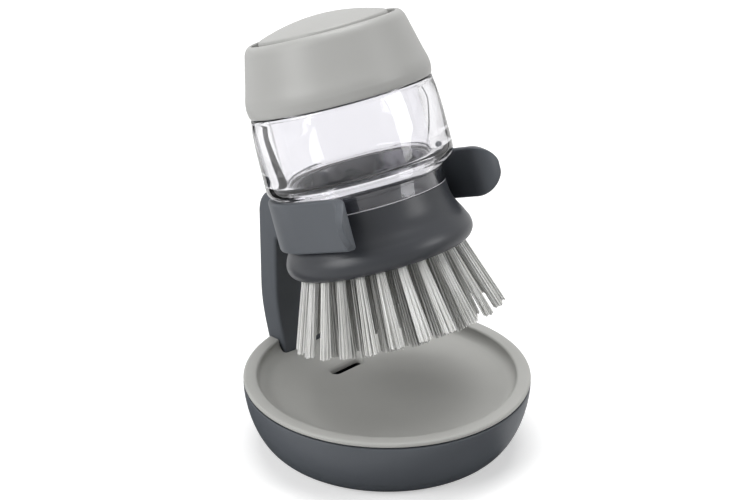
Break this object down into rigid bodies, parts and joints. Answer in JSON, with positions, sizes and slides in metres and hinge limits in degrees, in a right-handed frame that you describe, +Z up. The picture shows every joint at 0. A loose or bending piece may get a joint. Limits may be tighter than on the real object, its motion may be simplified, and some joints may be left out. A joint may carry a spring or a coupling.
{
  "type": "soap-dispensing palm brush with stand",
  "caption": "Palm brush with a clear soap tank, a press-button cap and a screw-on bristle head, resting in the open cradle of a round drip stand.",
  "frame": {"origin": "centre of the base pad's underside, on the surface the stand rests on", "axes": "+Z up, +Y from the stand's centre to its post, so the cradle opens to -Y; +X to the right when the cradle's open side faces the viewer's back"},
  "size_m": [0.1, 0.1057, 0.152],
  "materials": {
    "slate_plastic": "fine matte",
    "head_plastic": "fine matte",
    "pale_plastic": "fine matte",
    "tray_plastic": "fine matte",
    "clear_plastic": "clear, polished",
    "nylon": "translucent filament",
    "silicone": "satin, translucent",
    "rubber": "matte",
    "steel": "satin"
  },
  "bodies": {
    "stand": {"stand_bowl": "slate_plastic", "base_pad": "rubber", "cradle_post": "slate_plastic", "post_screw_left": "steel", "post_screw_right": "steel"},
    "tray": {"drip_tray": "tray_plastic"},
    "bottle": {"tank": "clear_plastic"},
    "cap_seal": {"cap_gasket": "rubber"},
    "cap": {"cap_shell": "pale_plastic", "pump_housing": "slate_plastic", "check_valve": "silicone", "pump_bellows": "silicone", "return_spring": "steel"},
    "press_button": {"button": "pale_plastic"},
    "head_seal": {"neck_gasket": "rubber"},
    "head": {"brush_head": "head_plastic", "slit_valve": "silicone", "valve_retainer": "head_plastic", "bristles_outer": "nylon", "bristles_middle": "nylon", "bristles_inner": "nylon"}
  },
  "joints": [
    {"name": "tray_lift", "type": "slide", "parent": "stand", "child": "tray", "axis": [0, 0, 1], "range_m": [0, 0.0055]},
    {"name": "brush_lift_out", "type": "slide", "parent": "stand", "child": "bottle", "axis": [0, -0.9358, 0.3527], "range_m": [0, 0.08]},
    {"name": "cap_rise", "type": "slide", "parent": "bottle", "child": "cap_seal", "axis": [0, 0.3527, 0.9358], "range_m": [0, 0.0061]},
    {"name": "cap_turn", "type": "hinge", "parent": "cap_seal", "child": "cap", "pos_m": [0, 0.02208, 0.1205], "axis": [0, 0.3527, 0.9358], "range_deg": [0, 540]},
    {"name": "button_press", "type": "slide", "parent": "cap", "child": "press_button", "axis": [0, -0.3527, -0.9358], "range_m": [0, 0.0035], "stiffness_N_per_m": 800, "springref_m": -0.003, "deforming": ["pump_bellows", "return_spring"]},
    {"name": "head_drop", "type": "slide", "parent": "bottle", "child": "head_seal", "axis": [0, -0.3527, -0.9358], "range_m": [0, 0.0061]},
    {"name": "head_turn", "type": "hinge", "parent": "head_seal", "child": "head", "pos_m": [0, 0.0023, 0.068], "axis": [0, -0.3527, -0.9358], "range_deg": [0, 540]}
  ],
  "couplings": [
    {"joint": "cap_rise", "follows": "cap_turn", "m_per_rad": 0.00063662},
    {"joint": "head_drop", "follows": "head_turn", "m_per_rad": 0.00063662}
  ]
}
